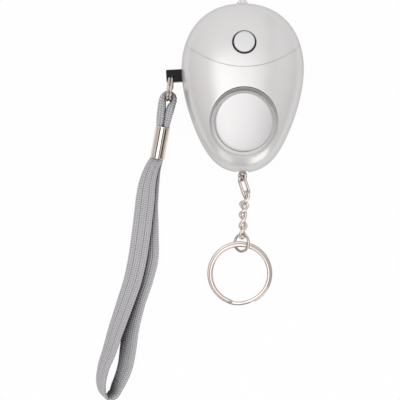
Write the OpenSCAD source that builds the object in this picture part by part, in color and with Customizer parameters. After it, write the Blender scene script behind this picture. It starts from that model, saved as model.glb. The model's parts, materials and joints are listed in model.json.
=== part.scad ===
// Personal safety alarm: egg-shaped case with a pull pin on a wrist strap, and a key chain.
// Millimetres. The case lies on its back face. X right, Y towards the light, Z out of the front.

/* [Case] */
// width across the widest part
body_w = 46; // [45:0.5:50]
// length from the chain end to the light end
body_l = 63.4; // [62:0.2:68]
// how far the widest line is from the middle of the length
widest_up = 8.5; // [8:0.1:9]
// height of the joint line above the back face
joint_z = 9; // [8.8:0.1:10]
// rise of the front above the joint line
front_rise = 12.5; // [12:0.1:14]
// how far the rounding of the back would reach below the back face
back_round = 1.5; // [1.2:0.1:2]
// wall thickness of the shells
wall = 1.6; // [1.4:0.05:1.8]
// radius of the curved line between the cover and the front shell
seam_r = 28.3; // [27:0.1:30]
// how far that line dips below the widest line
seam_dip = 2.4; // [1.8:0.1:3]
// gap along that line
seam_gap = 0.2; // [0.15:0.05:0.4]
// how far the cover stands above the front shell
cover_step = 0.3; // [0.1:0.05:0.5]

/* [Speaker] */
// centre of the speaker above the chain end
spk_up = 18; // [17.4:0.1:18.6]
// diameter of the recess in the front
spk_d = 25.3; // [24:0.1:25.6]
// width of the ring between the edge of the recess and the round cover
horn_w = 2.15; // [1.9:0.05:2.6]
// gap between the round cover and the horn ring
horn_gap = 0.25; // [0.2:0.05:0.5]
// fall of the horn ring from its rim to the round cover
horn_fall = 1.7; // [1.2:0.1:1.9]

/* [Button] */
// centre of the button above the widest line
button_y = 6.6; // [6:0.1:7]
// diameter of the button
button_d = 7.75; // [7:0.05:8.5]
// gap around the button
button_gap = 0.5; // [0.3:0.05:0.7]
// how far the button stands above the cover
button_proud = 0.8; // [0.7:0.05:1]
// travel of the button
button_travel = 0.6; // [0.4:0.05:0.65]

/* [Light] */
// diameter of the light
led_d = 4.8; // [4.4:0.1:5]
// how far the light stands out of the case
led_proud = 1.9; // [1.5:0.1:2.2]

/* [Pull pin] */
// height of the pin below the widest line
pin_drop = 3.6; // [3.2:0.1:4]
// lean of the pin across the front
pin_tilt = 3; // [0:0.5:4]
// width of the pin
pin_w = 4.6; // [4.4:0.1:5.2]
// thickness of the pin
pin_t = 3; // [2.6:0.1:3.4]
// how far the pin stands out of the case
pin_out = 5.7; // [5.5:0.1:7]
// thickness of the tongue between the contacts
tongue_t = 1; // [0.8:0.1:1.1]
// diameter of the hole for the ring
pin_hole_d = 2.5; // [2.4:0.1:2.8]
// gap around the pin
pin_gap = 0.15; // [0.1:0.05:0.25]

/* [Pin ring] */
// outside diameter of the small split ring
ring_d = 9.7; // [9.5:0.1:10.5]
// wire diameter of the small split ring
ring_wire = 1; // [0.85:0.05:1.05]

/* [Strap] */
// width of the strap
strap_w = 7.3; // [6.5:0.1:7.6]
// thickness of the strap
strap_t = 1.5; // [1.2:0.05:1.5]
// width of the ferrule
ferrule_w = 5.7; // [5.6:0.1:6.4]
// thickness of the ferrule
ferrule_t = 4.7; // [4.6:0.1:4.9]

/* [Chain] */
// wire diameter of the links
link_wire = 1.15; // [1:0.05:1.2]
// gap between neighbouring links
link_gap = 0.3; // [0.25:0.05:0.4]
// straight length of a small link
link_l = 2.7; // [2.5:0.05:3]
// straight length of the first link
first_link_l = 5.7; // [5:0.1:6.5]
// outside diameter of the end ring
end_ring_d = 7.7; // [7.5:0.1:8.2]
// wire diameter of the end ring
end_ring_wire = 1.1; // [1:0.05:1.15]

/* [Key ring] */
// outside diameter of the key ring
key_ring_d = 25; // [22:0.5:30]
// radial width of the flat wire
key_ring_w = 1.9; // [1.6:0.05:2]
// thickness of one turn of the flat wire
key_ring_t = 0.95; // [0.8:0.05:1]

/* [Battery] */
// diameter of a cell
cell_d = 11.6; // [11.4:0.1:11.8]
// height of a cell
cell_h = 5.4; // [5:0.1:5.5]

/* [Hidden] */

$fn = 48;
eps = 0.01;
far = 60;
clear = 1;

// outline of the case: its width along the length is a short series in the cosine of the angle
egg = [0.972, 0.226, 0.07, -0.085, 0.117];
rim_n = 44;
dome_n = 8;
// roundness of the shells: 2 is an ellipse, higher is fuller
dome_p = 2.4;
// point that the shells rise to, and how close to it the rings go
crown_up = 2.5;
crown_end = 87;

half_w = body_w / 2;
light_end = body_l / 2 - widest_up;
chain_end = -body_l / 2 - widest_up;
crown_at = [0, (light_end + chain_end) / 2 + crown_up];
back_rise = joint_z + back_round;

function egg_q(c) = egg[0] + egg[1] * c + egg[2] * c * c + egg[3] * pow(c, 3) + egg[4] * pow(c, 6);
function rim_out(a) = [half_w * sin(a) * egg_q(cos(a)), body_l / 2 * cos(a) - widest_up];
function rim(a, inset) =
  let (t = rim_out(a + 1) - rim_out(a - 1))
  rim_out(a) - inset * [-t.y, t.x] / norm(t);
function in_share(a) = pow(cos(a), 2 / dome_p);
function up_share(a) = pow(sin(a), 2 / dome_p);
function flat_angle(rise, depth) = asin(pow(depth / rise, dome_p / 2));

// height of the front at any point, found along the ray from the crown to the rim
seek_steps = 22;
function seek(turn, inset, lo, hi, k) =
  let (m = (lo + hi) / 2, r = rim(m, inset) - crown_at)
  k == 0 ? m : atan2(r.x, r.y) < turn ? seek(turn, inset, m, hi, k - 1) : seek(turn, inset, lo, m, k - 1);
function front_z(x, y, rise = front_rise) =
  let (v = [abs(x), y] - crown_at)
  let (r = rim(seek(atan2(v.x, v.y), 0, 0, 180, seek_steps), 0) - crown_at)
  joint_z + rise * pow(1 - pow(min(norm(v) / norm(r), 1), dome_p), 1 / dome_p);

function dome_points(inset, rise, sign, end) = concat(
  [for (j = [0:dome_n], i = [0:rim_n - 1])
    let (a = end * j / dome_n, o = rim(-360 * i / rim_n, inset))
    let (p = crown_at + (o - crown_at) * in_share(a))
    [p.x, p.y, joint_z + sign * rise * up_share(a)]],
  [[crown_at.x, crown_at.y, joint_z + sign * rise * up_share(end)]]);
function turned(f, flip) = flip ? [for (t = f) [t[0], t[2], t[1]]] : f;
function dome_faces(from, flip) = turned(concat(
  [for (j = [0:dome_n - 1], i = [0:rim_n - 1])
    let (a = from + j * rim_n + i, b = from + j * rim_n + (i + 1) % rim_n) [a, a + rim_n, b]],
  [for (j = [0:dome_n - 1], i = [0:rim_n - 1])
    let (a = from + j * rim_n + i, b = from + j * rim_n + (i + 1) % rim_n) [b, a + rim_n, b + rim_n]],
  [for (i = [0:rim_n - 1])
    let (last = from + dome_n * rim_n) [last + i, last + rim_n, last + (i + 1) % rim_n]]), flip);
dome_count = (dome_n + 1) * rim_n + 1;
function edge_faces(flip) = turned(concat(
  [for (i = [0:rim_n - 1]) [i, (i + 1) % rim_n, dome_count + i]],
  [for (i = [0:rim_n - 1]) [(i + 1) % rim_n, dome_count + (i + 1) % rim_n, dome_count + i]]), flip);

module shell(rise, rise_in, sign, end, end_in) {
  flip = sign < 0;
  polyhedron(
    points = concat(dome_points(0, rise, sign, end), dome_points(wall, rise_in, sign, end_in)),
    faces = concat(dome_faces(0, flip), dome_faces(dome_count, !flip), edge_faces(flip)));
}
module dome(inset, rise, sign, end) {
  base = [for (i = [0:rim_n - 1]) i];
  polyhedron(
    points = dome_points(inset, rise, sign, end),
    faces = concat(dome_faces(0, sign < 0), [sign < 0 ? [for (i = base) rim_n - 1 - i] : base]));
}

// body swept along a route of [centre, width direction, width, thickness]
side_n = 8;
edge_cut = 0.6;
function unit(v) = v / norm(v);
function section(w, t) =
  let (a = w / 2, b = t / 2, c = a - b * edge_cut)
  [[a, b / 2], [c, b], [-c, b], [-a, b / 2], [-a, -b / 2], [-c, -b], [c, -b], [a, -b / 2]];
function sweep_points(route) = let (last = len(route) - 1) [
  for (k = [0:last])
    let (t = unit(route[min(k + 1, last)][0] - route[max(k - 1, 0)][0]), w0 = route[k][1])
    let (w = unit(w0 - (w0 * t) * t), n = cross(t, w))
    for (q = section(route[k][2], route[k][3])) route[k][0] + q.x * w + q.y * n];
function sweep_faces(count) = concat(
  [for (k = [0:count - 2], i = [0:side_n - 1])
    let (a = k * side_n + i, b = k * side_n + (i + 1) % side_n) [a, a + side_n, b]],
  [for (k = [0:count - 2], i = [0:side_n - 1])
    let (a = k * side_n + i, b = k * side_n + (i + 1) % side_n) [b, a + side_n, b + side_n]],
  [[for (i = [0:side_n - 1]) i], [for (i = [0:side_n - 1]) count * side_n - 1 - i]]);
module sweep(route) {
  polyhedron(points = sweep_points(route), faces = sweep_faces(len(route)));
}
wire_side = [0.3, 0.2, 1];
function wire_route(points, d) = [for (p = points) [p, wire_side, d, d]];

// two turns of wire that cross over once, as in a split ring
cross_from = 318;
cross_to = 356;
function cross_over(a) =
  let (s = min(max((a - cross_from) / (cross_to - cross_from), 0), 1)) s * s * (3 - 2 * s);
function split_route(r, gap, w, t, steps) = [for (k = [0:steps])
  let (a = (cross_from + 360) * k / steps, pitch = t + gap)
  [[r * cos(a), r * sin(a), pitch * (cross_over(a) - 0.5)], [cos(a), sin(a), 0], w, t]];

// case fasteners
screw_side = 0.565;
screw_from_light = 10.2;
screw_from_chain = 16.2;
screw_up = [screw_side * half_w, light_end - screw_from_light];
screw_low = [screw_side * half_w, chain_end + screw_from_chain];
screw_at = [screw_up, [-screw_up.x, screw_up.y], screw_low, [-screw_low.x, screw_low.y]];
screw_d = 2;
screw_hole_d = 2.2;
screw_bore_d = 1.7;
screw_head_d = 3.6;
screw_head_h = 1.4;
head_pocket_d = 4;
boss_d = 5.2;
screw_seat_in = 3.4;
screw_seat = joint_z - screw_seat_in;
screw_reach = 3.6;
bore_reach = 4.2;
thread_fit = 0.02;
cross_l = 2;
cross_w = 0.4;
cross_deep = 0.5;

// speaker stack, from the floor of the recess down
spk_at = [0, chain_end + spk_up];
spk_r = spk_d / 2;
spk_cover_d = spk_d - 2 * horn_w;
well_up = 4.8;
well_floor = joint_z + well_up;
well_floor_t = 1.2;
well_wall = 1.2;
well_under = well_floor - well_floor_t;
piezo_in = 2.65;
piezo_d = spk_d - 2 * piezo_in;
seat_h = 0.6;
seat_w = 1;
seat_in = 0.4;
sound_r = piezo_d / 2 - seat_w - seat_in;
piezo_t = 0.3;
ceramic_t = 0.25;
ceramic_share = 0.7;
ceramic_d = ceramic_share * piezo_d;
piezo_top = well_under - seat_h;
horn_lip = 0.35;
horn_in_r = spk_cover_d / 2 + horn_gap;
horn_fit = 0.1;
spk_n = 36;
cover_drop = 0.25;
cover_edge = 0.4;
cover_wall = 1.2;
cover_mid = 0.7;
cover_near = 0.35;
cover_leg_d = 1;
cover_leg_n = 4;
cover_r = spk_cover_d / 2;
cover_low = front_z(0, spk_at.y - cover_r) - horn_lip - horn_fall - cover_wall;

// board and what stands on it
board_up = 2;
board_under = joint_z + board_up;
board_t = 1.1;
board_top = board_under + board_t;
board_inset = 3;
board_gap = 0.55;
board_low = spk_at.y + spk_r + board_gap;
board_from_light = 13.2;
board_high = light_end - board_from_light;
board_screw_in = 2;
board_screw_y = board_low + board_screw_in;
board_boss_d = 4;
board_screw_reach = 3;
board_head_d = 3.2;
board_head_h = 1.2;
switch_w = 6;
switch_h = 2.6;
plunger_d = 3.2;
plunger_gap = 0.1;
chip_in = 5.5;
chip_at = [0, board_low + chip_in];
chip_d = 6;
chip_h = 1.1;
chip_top_d = 3.6;
coil_in = 6.5;
coil_at = [0.5 * half_w, board_high - coil_in];
coil_d = 6.4;
coil_core_d = 3;
coil_flange_t = 0.8;
coil_h = 4.6;
winding_d = 5.8;
cap_in = 5.5;
cap_at = [-0.44 * half_w, board_high - cap_in];
cap_d = 5;
cap_h = 5.2;
transistor_in = 4.5;
transistor_at = [0.26 * half_w, board_low + transistor_in];
transistor_d = 4.4;
transistor_h = 4;
transistor_flat = 1.2;
lead_w = 0.5;
lead_pitch = 1.27;
lead_up = 1;
resistor_in = 6.5;
resistor_at = [-0.21 * half_w, board_low + resistor_in];
resistor_size = [3.2, 1.6, 0.6];
resistor_pitch = 2.3;
boss_gap = 0.1;
board_screw_at = [[0.674 * half_w, board_screw_y],
  [resistor_at.x - resistor_size.x / 2 - board_boss_d / 2 - boss_gap, board_screw_y]];

// button stack
button_r = button_d / 2;
cover_rise = front_rise + cover_step;
button_top = front_z(0, button_y, cover_rise) + button_proud;
button_round = 0.6;
button_flange_t = 0.8;
button_flange_out = 0.8;
button_flange_r = button_r + button_gap + button_flange_out;
button_under = 0.3;
button_skirt = front_z(0, button_y + button_flange_r) - wall - button_under;
plunger_low = board_top + switch_h + button_travel + plunger_gap;

// light
led_r = led_d / 2;
led_tip = light_end + led_proud;
led_l = 8.6;
led_base = led_tip - led_l;
led_flange_out = 0.4;
led_flange_r = led_r + led_flange_out;
led_flange_t = 1;
led_fit = 0.1;
led_hole_in = 0.5;
led_lead_in = 1;
led_lead_end = board_high - led_lead_in;

// pull pin, drawn along its own axis with X towards the case
pin_seat = 1;
pin_at = [-half_w + pin_seat, -pin_drop, joint_z];
pin_slot_in = 6;
pin_in = 1.4;
tongue_w = 3;
tongue_l = 8.2;
hole_back = 1.9;
hole_off = -0.5;
contact_t = 0.2;
contact_w = 2.4;
contact_gap = 0.12;
contact_from = 3;
contact_to = 10.6;
contact_step = 1.2;
pin_hole = pin_at + [
  -(pin_out + pin_seat - hole_back) * cos(pin_tilt) - hole_off * sin(pin_tilt),
  -(pin_out + pin_seat - hole_back) * sin(pin_tilt) + hole_off * cos(pin_tilt), 0];

// small ring: its plane holds the vertical, and it hangs towards ring_dir
ring_lean = 6.7;
ring_r = (ring_d - ring_wire) / 2;
ring_turn_gap = 0.05;
ring_start = 200;
ring_steps = 44;
ring_dir = [-sin(ring_lean), -cos(ring_lean), 0];
ring_mid = pin_hole + ring_r * ring_dir;
ring_end = ring_mid + ring_r * ring_dir;

// strap: the route is measured from the far end of the small ring, heights from the floor
strap_at = [ring_end.x, ring_end.y, 0];
ferrule_top = [-2.3, -9.3, 5.6];
ferrule_low = [-4.7, -21.3, 2.5];
ferrule_wall = 0.5;
ferrule_round = 1.6;
loop_w = 3.4;
// each point of the top loop: x, y, z and the thickness there
loop_route = [[-3.85, -11, 5.2, 2.1], [-3.5, -9.2, 5.6, 2.2], [-3.3, -7.2, 6.3, 2.6], [-3, -4.6, 7.2, 2.7],
  [-2.7, -2.4, 8, 2.6], [-2.5, -0.6, 8.7, 2.4], [-2.3, 0.7, 9, 2], [-1.5, 1.95, 9, 2], [-0.25, 2.45, 9, 2],
  [1, 2.1, 9, 1.9], [1.95, 1.15, 9, 1.6], [2, 0, 8.8, 1.5], [1.6, -1, 8.5, 1.7], [0.95, -2.1, 8.1, 2.4],
  [0.2, -4, 7.4, 2.7], [-0.45, -6.6, 6.5, 2.4], [-1.05, -9.2, 5.7, 2.1], [-1.4, -11, 5.2, 2.1]];
// each point of the wrist loop: x, y, z and the lean of the width out of the level
wrist_route = [[-4.3, -19, 3.9, 0], [-4.8, -21.3, 3.3, 0], [-6.6, -24.8, 3.1, 0], [-8.6, -31.5, 3.1, 0],
  [-9.3, -37.1, 3.1, 0], [-10.7, -49, 3.2, 3], [-12.4, -60.7, 3.3, 8], [-13.9, -67.7, 3.4, 15],
  [-17.3, -78.1, 3.8, 25], [-20.8, -88.4, 4.3, 35], [-22.9, -95.2, 4.7, 42], [-25.3, -102.1, 4.9, 52],
  [-26, -108.8, 4.9, 58], [-25.3, -111.4, 4.8, 62], [-23.7, -112.8, 4.5, 62], [-21.7, -112, 4.2, 58],
  [-19.9, -108.8, 3.9, 50], [-17.2, -102.1, 3.4, 38], [-16, -95.2, 2.9, 29], [-15.2, -88.4, 2.6, 26],
  [-12.9, -78.1, 2.3, 24], [-9.6, -67.7, 1.9, 18], [-8, -60.7, 1.5, 10], [-7.9, -49, 1.1, 4],
  [-8, -37.1, 0.9, 0], [-7.3, -31.5, 0.8, 0], [-6, -25, 1, 0], [-4.8, -21.3, 1.7, 0], [-4.3, -19, 2.3, 0]];
wrist_turn = -12;
// widths of the wrist loop from each of its ends, up to its full width
wrist_neck = [4.4, 4.4, 6, 6.9];

// chain: each piece has a turn across the floor, a fall and a roll about its own length
// the end ring is last
link_r = link_wire / 2;
link_mid_r = link_wire + link_gap;
eye_mid_r = link_wire + link_gap;
eye_roll = -40;
eye_out = 1.3;
eye_y = chain_end - eye_out;
eye_pocket = 0.9;
eye_slot = 4.8;
eye_shank_d = 1.4;
eye_shank_fit = 0.1;
eye_head_d = 4;
eye_head_t = 0.8;
chain_turn = [20, -14, -6, 0, -4, -6];
chain_fall = [30, 26, 13, 9, -3, 0];
chain_roll = [34, -48, 44, -46, 44, -40];
chain_l = [first_link_l, link_l, link_l, link_l, link_l];
function tipped(v, turn, fall, roll) =
  let (a = [v.x * cos(roll) + v.z * sin(roll), v.y, v.z * cos(roll) - v.x * sin(roll)])
  let (b = [a.x, a.y * cos(fall) - a.z * sin(fall), a.y * sin(fall) + a.z * cos(fall)])
  [b.x * cos(turn) - b.y * sin(turn), b.x * sin(turn) + b.y * cos(turn), b.z];
function chain_dir(i) = tipped([0, -1, 0], chain_turn[i], chain_fall[i], chain_roll[i]);
function chain_face(i) =
  i < 0 ? tipped([0, 0, 1], 0, 0, eye_roll)
    : tipped([0, 0, 1], chain_turn[i], chain_fall[i], chain_roll[i]);
// a piece hangs on the arc of the piece before, on the side that it pulls towards
function hook(i) = let (d = chain_dir(i), f = chain_face(i - 1)) link_mid_r * unit(d - (d * f) * f);
function chain_point(i) =
  i == 0 ? [0, eye_y, joint_z] + hook(0) : chain_point(i - 1) + chain_l[i - 1] * chain_dir(i - 1) + hook(i);
end_at = len(chain_l);
end_r = (end_ring_d - end_ring_wire) / 2;
end_hang = end_r - (link_wire + end_ring_wire + link_gap) / 2;
end_mid = chain_point(end_at) + end_hang * chain_dir(end_at);
key_r = (key_ring_d - key_ring_w) / 2;
key_gap = 0.05;
key_in = 0.5;
key_turn = -3;
key_hook = end_mid + key_in * chain_dir(end_at);
key_fall = asin((key_hook.z - key_ring_t - key_gap / 2) / (2 * key_r));
key_start = 300;
key_steps = 72;

// battery
tray_up = 0.8;
tray_base = wall + tray_up;
strip_t = 0.2;
tray_top = tray_base + cell_h + strip_t;
cell_fit = 0.15;
cell_land = 0.8;
tray_rim = 1.2;
cell_pitch = cell_d + cell_land;
cell_from_light = 18.7;
cell_y = light_end - cell_from_light;
cell_low_y = cell_y - cell_pitch * sin(60);
cell_at = [[-cell_pitch / 2, cell_y], [cell_pitch / 2, cell_y], [0, cell_low_y]];
cell_mid = (cell_at[0] + cell_at[1] + cell_at[2]) / 3;
cell_round = 0.3;
strip_w = 4;
strip_fit = 0.1;
minus_out = 0.3;
minus_in = 2;
minus_y = cell_low_y - cell_d / 2 - tray_rim - minus_out;
minus_rise = 0.4;
wire_d = 0.7;

// wires from the board to the piezo disc: their place across, and how far they go in and sag
wire_x = 2;
wire_in = 1.2;
wire_bend = 0.6;
wire_sag = 1.8;
wire_turn = 1.4;
wire_rise = 0.8;
wire_red_r = 5;
wire_black_r = 8.6;

module at_speaker() { translate([spk_at.x, spk_at.y, 0]) children(); }
module at_pin() { translate(pin_at) rotate([0, 0, pin_tilt]) children(); }
module rod(d, z0, z1) { translate([0, 0, z0]) cylinder(d = d, h = z1 - z0); }
module seam_zone(grow) {
  translate([0, seam_r - seam_dip, 0]) rod(2 * (seam_r + grow), joint_z - clear, far);
}
module pin_slot() {
  at_pin() translate([-far / 4, -pin_w / 2 - pin_gap, -pin_t / 2 - pin_gap])
    cube([far / 4 + pin_slot_in, pin_w + 2 * pin_gap, pin_t + 2 * pin_gap]);
}
module led_hole() {
  translate([0, led_base + led_flange_t + led_hole_in, joint_z]) rotate([-90, 0, 0])
    cylinder(r = led_r + led_fit, h = far / 2);
}
module eye_hole() {
  translate([0, chain_end + wall + clear, joint_z]) rotate([90, 0, 0])
    cylinder(d = eye_shank_d + 2 * eye_shank_fit, h = far / 2);
  translate([0, chain_end + wall + 2 * eye_head_t, joint_z]) rotate([90, 0, 0])
    cylinder(d = eye_head_d + 2 * eye_shank_fit, h = 2 * eye_head_t);
  translate([-eye_slot / 2, chain_end - eye_slot, joint_z - eye_slot / 2])
    cube([eye_slot, eye_slot + eye_pocket, eye_slot]);
}
module front_bosses(list, d, z0) {
  intersection() {
    dome(wall / 2, front_rise - wall / 2, 1, crown_end);
    union() for (p = list) translate(p) rod(d, z0, far / 2);
  }
}

module front_shell() color("gainsboro") difference() {
  union() {
    difference() {
      shell(front_rise, front_rise - wall, 1, crown_end, crown_end);
      seam_zone(seam_gap / 2);
    }
    front_bosses([screw_at[2], screw_at[3]], boss_d, joint_z);
    front_bosses(board_screw_at, board_boss_d, board_top);
    front_bosses([spk_at], spk_d + 2 * well_wall, well_under);
    at_speaker() rod(2 * (sound_r + seat_w), piezo_top, well_under + eps);
  }
  at_speaker() rod(spk_d, well_floor, far / 2);
  at_speaker() rod(2 * sound_r, 0, far / 2);
  for (p = [screw_at[2], screw_at[3]]) translate(p) rod(screw_bore_d, 0, joint_z + bore_reach);
  for (p = board_screw_at) translate(p) rod(screw_bore_d, 0, board_top + bore_reach);
  pin_slot();
  eye_hole();
}

module upper_cover() color("gainsboro") difference() {
  union() {
    intersection() {
      shell(cover_rise, front_rise - wall, 1, crown_end, crown_end);
      seam_zone(-seam_gap / 2);
    }
    front_bosses([screw_at[0], screw_at[1]], boss_d, joint_z);
  }
  translate([0, button_y, 0]) rod(button_d + 2 * button_gap, joint_z, far / 2);
  for (p = [screw_at[0], screw_at[1]]) translate(p) rod(screw_bore_d, 0, joint_z + bore_reach);
  led_hole();
}

module rear_shell() color("lightgray") difference() {
  union() {
    shell(back_rise, back_rise - wall, -1, flat_angle(back_rise, joint_z),
      flat_angle(back_rise - wall, joint_z - wall));
    intersection() {
      dome(wall / 2, back_rise - wall / 2, -1, flat_angle(back_rise - wall / 2, joint_z - wall / 2));
      union() for (p = screw_at) translate(p) rod(boss_d, 0, joint_z);
    }
  }
  for (p = screw_at) translate(p) {
    rod(screw_hole_d, -clear, far);
    rod(head_pocket_d, -clear, screw_seat);
  }
  pin_slot();
  led_hole();
  eye_hole();
}

// ring whose top falls from the rim of the recess to the round cover
function round_at(r, k) = spk_at + r * [cos(360 * k / spk_n), sin(360 * k / spk_n)];
function rim_z(k) = let (p = round_at(spk_r, k)) front_z(p.x, p.y) - horn_lip;
module horn_ring() color("silver") {
  r_out = spk_r - horn_fit;
  rows = [[r_out, 0, true], [horn_in_r, horn_fall, true], [horn_in_r, 0, false], [r_out, 0, false]];
  polyhedron(
    points = [for (row = rows, k = [0:spk_n - 1])
      let (p = round_at(row[0], k)) [p.x, p.y, row[2] ? rim_z(k) - row[1] : well_floor]],
    faces = concat(
      [for (j = [0:3], k = [0:spk_n - 1])
        let (b = (j + 1) % 4 * spk_n, n = (k + 1) % spk_n) [j * spk_n + k, b + k, j * spk_n + n]],
      [for (j = [0:3], k = [0:spk_n - 1])
        let (b = (j + 1) % 4 * spk_n, n = (k + 1) % spk_n) [j * spk_n + n, b + k, b + n]]));
}

// round cover: a thin cap that follows the front, on short legs
// rows of points as [radius, depth below the top], with a negative depth for the lower edge
cover_rows = [[cover_r, -1], [cover_r, cover_edge], [cover_r - cover_edge, 0], [cover_r * cover_mid, 0],
  [cover_r * cover_near, 0], [cover_r - cover_wall, -1], [cover_r - cover_wall, cover_wall],
  [cover_r * cover_mid, cover_wall], [cover_r * cover_near, cover_wall]];
function cover_z(depth, p) = depth < 0 ? cover_low : front_z(p.x, p.y) - cover_drop - depth;
function band(j, m, flip) = turned(concat(
  [for (k = [0:spk_n - 1]) [j * spk_n + k, m * spk_n + k, j * spk_n + (k + 1) % spk_n]],
  [for (k = [0:spk_n - 1])
    let (n = (k + 1) % spk_n) [j * spk_n + n, m * spk_n + k, m * spk_n + n]]), flip);
module speaker_cover() color("whitesmoke") {
  tip = len(cover_rows) * spk_n;
  top_z = cover_z(0, spk_at);
  polyhedron(
    points = concat(
      [for (row = cover_rows, k = [0:spk_n - 1])
        let (p = round_at(row[0], k)) [p.x, p.y, cover_z(row[1], p)]],
      [[spk_at.x, spk_at.y, top_z], [spk_at.x, spk_at.y, top_z - cover_wall]]),
    faces = concat(
      [for (j = [0:3]) each band(j, j + 1, false)],
      [for (k = [0:spk_n - 1]) [4 * spk_n + k, tip, 4 * spk_n + (k + 1) % spk_n]],
      [for (j = [5:7]) each band(j, j + 1, true)],
      [for (k = [0:spk_n - 1]) [8 * spk_n + k, 8 * spk_n + (k + 1) % spk_n, tip + 1]],
      band(0, 5, true)));
  for (k = [0:cover_leg_n - 1])
    translate(spk_at + (cover_r - cover_wall / 2) * [cos(90 * k + 45), sin(90 * k + 45)])
      rod(cover_leg_d, well_floor, cover_low + cover_wall);
}

module piezo_plate() color("goldenrod") at_speaker() rod(piezo_d, piezo_top - piezo_t, piezo_top);
module piezo_ceramic() color("ivory") at_speaker()
  rod(ceramic_d, piezo_top - piezo_t - ceramic_t, piezo_top - piezo_t);
module piezo_wire(x, r_end, z_end) {
  y_end = spk_at.y + r_end;
  sweep(wire_route([[x, board_low + wire_in, board_under], [x, board_low + wire_in, board_under - wire_bend],
    [x, board_low + wire_bend, board_under - wire_turn], [x, board_low - wire_bend, board_under - wire_sag],
    [x, (board_low + y_end) / 2, board_under - wire_sag], [x, y_end + wire_bend, board_under - wire_turn],
    [x, y_end, board_under - wire_rise], [x, y_end, z_end]], wire_d));
}
module piezo_wire_red() color("red") piezo_wire(wire_x, wire_red_r, piezo_top - piezo_t - ceramic_t);
module piezo_wire_black() color("black") piezo_wire(-wire_x, wire_black_r, piezo_top - piezo_t);

module circuit_board() color("darkgreen") difference() {
  translate([0, 0, board_under]) linear_extrude(board_t) intersection() {
    polygon([for (i = [0:rim_n - 1]) rim(-360 * i / rim_n, board_inset)]);
    translate([-half_w, board_low]) square([body_w, board_high - board_low]);
  }
  for (p = board_screw_at) translate(p) rod(screw_hole_d, 0, far / 2);
}
module switch_body() color("dimgray") translate([-switch_w / 2, button_y - switch_w / 2, board_top])
  cube([switch_w, switch_w, switch_h]);
module switch_plunger() color("saddlebrown") translate([0, button_y, 0])
  rod(plunger_d, plunger_low, button_skirt - button_flange_t);
module torch_button() color("whitesmoke") translate([0, button_y, 0]) rotate_extrude() union() {
  difference() {
    translate([0, button_skirt]) square([button_r, button_top - button_skirt]);
    translate([button_r - button_round, button_top - button_round]) square(2 * button_round);
  }
  intersection() {
    translate([button_r - button_round, button_top - button_round]) circle(button_round);
    translate([0, button_skirt]) square([button_r, far]);
  }
  translate([0, button_skirt - button_flange_t]) square([button_flange_r, button_flange_t + eps]);
}

module led_lens() color("white", 0.7) translate([0, 0, joint_z]) rotate([-90, 0, 0])
  rotate_extrude() union() {
  translate([0, led_base]) square([led_flange_r, led_flange_t]);
  translate([0, led_base]) square([led_r, led_tip - led_r - led_base]);
  intersection() {
    translate([0, led_tip - led_r]) circle(led_r);
    translate([0, led_base]) square([led_r, led_tip]);
  }
}
module led_leads() color("silver") for (s = [-1, 1]) translate([s * lead_pitch - lead_w / 2, 0, 0]) {
  translate([0, led_lead_end, joint_z - lead_w / 2]) cube([lead_w, led_base - led_lead_end, lead_w]);
  translate([0, led_lead_end - lead_w, joint_z - lead_w / 2])
    cube([lead_w, lead_w + eps, board_under - joint_z + lead_w / 2]);
}
module control_chip() color("black") translate([chip_at.x, chip_at.y, board_top])
  cylinder(d1 = chip_d, d2 = chip_top_d, h = chip_h);
module coil_core() color("dimgray") translate([coil_at.x, coil_at.y, board_top]) {
  rod(coil_core_d, 0, coil_h);
  rod(coil_d, 0, coil_flange_t);
  rod(coil_d, coil_h - coil_flange_t, coil_h);
}
module coil_winding() color("chocolate") translate([coil_at.x, coil_at.y, board_top]) difference() {
  rod(winding_d, coil_flange_t, coil_h - coil_flange_t);
  rod(coil_core_d, 0, coil_h);
}
module capacitor() color("navy") translate([cap_at.x, cap_at.y, board_top]) rod(cap_d, 0, cap_h);
module transistor() color("black") translate([transistor_at.x, transistor_at.y, board_top]) {
  difference() {
    rod(transistor_d, lead_up, lead_up + transistor_h);
    translate([-far / 2, transistor_flat, 0]) cube([far, far, far]);
  }
  for (i = [-1:1]) translate([i * lead_pitch - lead_w / 2, -lead_w / 2, 0])
    cube([lead_w, lead_w, lead_up + eps]);
}
module resistors() color("black") for (i = [0:2])
  translate([resistor_at.x, resistor_at.y - i * resistor_pitch, board_top])
    translate([-resistor_size.x / 2, -resistor_size.y / 2, 0]) cube(resistor_size);

// two springy leaves that the tongue of the pin keeps apart
module contact(z, from, post) {
  at_pin() translate([contact_from, -contact_w / 2, z]) cube([post - contact_from, contact_w, contact_t]);
  at_pin() translate([post - contact_t, -contact_w / 2, from])
    cube([contact_t, contact_w, board_under - joint_z - from]);
}
contact_z = tongue_t / 2 + contact_gap;
module contact_upper() color("gold") contact(contact_z, contact_z, contact_to);
module contact_lower() color("gold")
  contact(-contact_z - contact_t, -contact_z - contact_t, contact_to + contact_step);

module battery_tray() color("dimgray") difference() {
  translate([0, 0, tray_base]) linear_extrude(tray_top - tray_base) union() {
    for (p = cell_at) translate(p) circle(d = cell_d + 2 * tray_rim);
    translate(cell_mid) circle(d = cell_d / 2);
  }
  for (p = cell_at) translate(p) rod(cell_d + 2 * cell_fit, 0, far / 2);
  strip(cell_at[1], cell_at[2], tray_top - strip_t - strip_fit, strip_t + clear, strip_w + 2 * strip_fit);
}
module cell(p) translate(p) {
  rod(cell_d, tray_base + cell_round, tray_base + cell_h);
  rod(cell_d - 2 * cell_round, tray_base, tray_base + cell_round + eps);
}
module battery_cell_left() color("silver") cell(cell_at[0]);
module battery_cell_right() color("silver") cell(cell_at[1]);
module battery_cell_low() color("silver") cell(cell_at[2]);
module strip(p, q, z, t, w) {
  translate([p.x, p.y, z]) rotate([0, 0, atan2(q.y - p.y, q.x - p.x)])
    translate([0, -w / 2, 0]) cube([norm(q - p), w, t]);
}
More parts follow.
